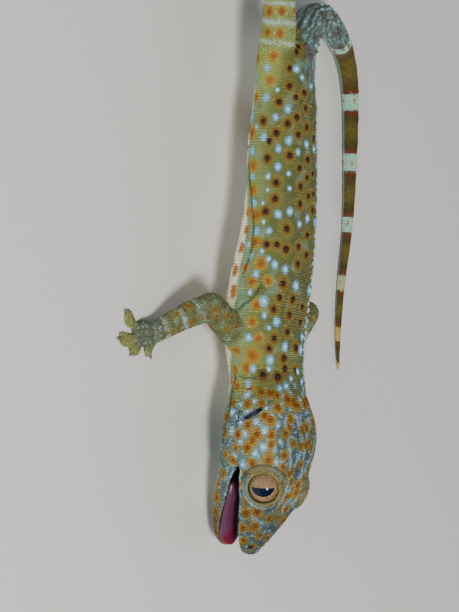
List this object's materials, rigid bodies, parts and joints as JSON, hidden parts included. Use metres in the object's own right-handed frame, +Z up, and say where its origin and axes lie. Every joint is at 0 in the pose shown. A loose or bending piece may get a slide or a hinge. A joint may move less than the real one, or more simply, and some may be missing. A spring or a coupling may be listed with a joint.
{
  "type": "gecko",
  "caption": "Life-size tokay gecko standing with its mouth a little open, a foreleg stretched out, toe pads flat on the floor and the tail bent forward along its side.",
  "frame": {"origin": "centre of the bounding box at the floor, below the animal", "axes": "+X from the tail towards the snout, +Y to the animal's left, +Z up"},
  "size_m": [0.1898, 0.1228, 0.0315],
  "materials": {
    "back_skin": "matt granular skin, olive green with orange and pale blue spots",
    "head_skin": "matt granular skin, blue grey with orange spots",
    "tail_skin": "matt scaly skin, olive brown with pale bands",
    "limb_skin": "matt granular skin, olive with pale blue and orange marks",
    "iris": "wet clear cornea over a copper gold iris with a dark upright slit",
    "tongue_flesh": "moist purple pink flesh"
  },
  "bodies": {
    "root": {"head": "head_skin", "lower_jaw": "head_skin", "tongue": "tongue_flesh", "eye_right": "iris", "eye_left": "iris", "neck": "back_skin", "torso": "back_skin", "hips": "back_skin", "tail_base": "tail_skin", "tail_bend": "tail_skin", "tail_middle": "tail_skin", "tail_tip": "tail_skin", "upper_arm_right": "limb_skin", "forearm_right": "limb_skin", "hand_right": "limb_skin", "upper_arm_left": "limb_skin", "forearm_left": "limb_skin", "hand_left": "limb_skin", "thigh_right": "limb_skin", "shank_right": "limb_skin", "foot_right": "limb_skin", "thigh_left": "limb_skin", "shank_left": "limb_skin", "foot_left": "limb_skin"}
  },
  "joints": []
}
